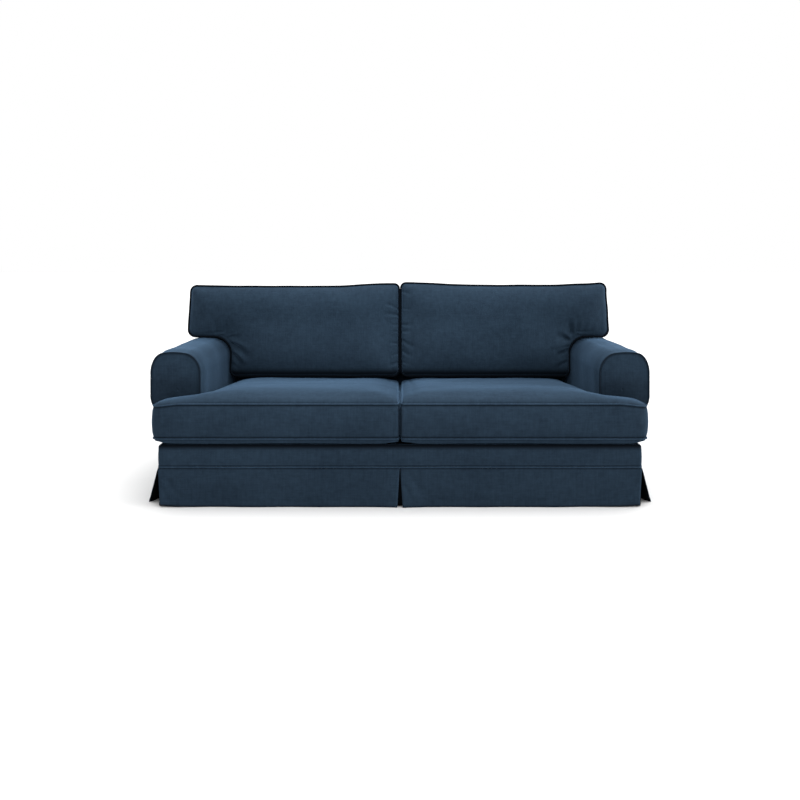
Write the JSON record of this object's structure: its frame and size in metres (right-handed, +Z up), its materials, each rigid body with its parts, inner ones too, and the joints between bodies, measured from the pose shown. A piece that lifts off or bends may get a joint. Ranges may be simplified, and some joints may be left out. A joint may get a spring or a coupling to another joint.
{
  "type": "sofa slipcover with cushions",
  "caption": "Fitted slipcover for a sofa with rounded arms, with a pleated skirt to the floor and loose seat and back cushions edged with welts.",
  "frame": {"origin": "on the floor under the middle of the cover's bounding box", "axes": "+X to the right for someone facing the sofa, +Y from its front to its back, +Z up"},
  "size_m": [2.182, 0.975, 0.905],
  "materials": {
    "navy_cloth": "deep navy brushed cloth with a soft sheen",
    "dark_welt": "near-black navy cord cover, matt"
  },
  "bodies": {
    "root": {"arm_front_left": "navy_cloth", "arm_front_right": "navy_cloth", "arm_welt_left": "dark_welt", "arm_welt_right": "dark_welt", "arm_wrap_left": "navy_cloth", "arm_wrap_right": "navy_cloth", "back_boxing": "navy_cloth", "back_cushion_left": "navy_cloth", "back_cushion_right": "navy_cloth", "back_welt_front_left": "dark_welt", "back_welt_front_right": "dark_welt", "back_welt_rear_left": "dark_welt", "back_welt_rear_right": "dark_welt", "deck_panel": "navy_cloth", "front_band": "navy_cloth", "inside_back": "navy_cloth", "outside_arm_left": "navy_cloth", "outside_arm_right": "navy_cloth", "outside_back": "navy_cloth", "pleat_back_left": "navy_cloth", "pleat_back_right": "navy_cloth", "pleat_centre": "navy_cloth", "pleat_front_left": "navy_cloth", "pleat_front_right": "navy_cloth", "seat_cushion_left": "navy_cloth", "seat_cushion_right": "navy_cloth", "seat_welt_high_left": "navy_cloth", "seat_welt_high_right": "navy_cloth", "seat_welt_low_left": "navy_cloth", "seat_welt_low_right": "navy_cloth", "skirt_back": "navy_cloth", "skirt_front_left": "navy_cloth", "skirt_front_right": "navy_cloth", "skirt_side_left": "navy_cloth", "skirt_side_right": "navy_cloth", "skirt_welt": "navy_cloth"}
  },
  "joints": []
}
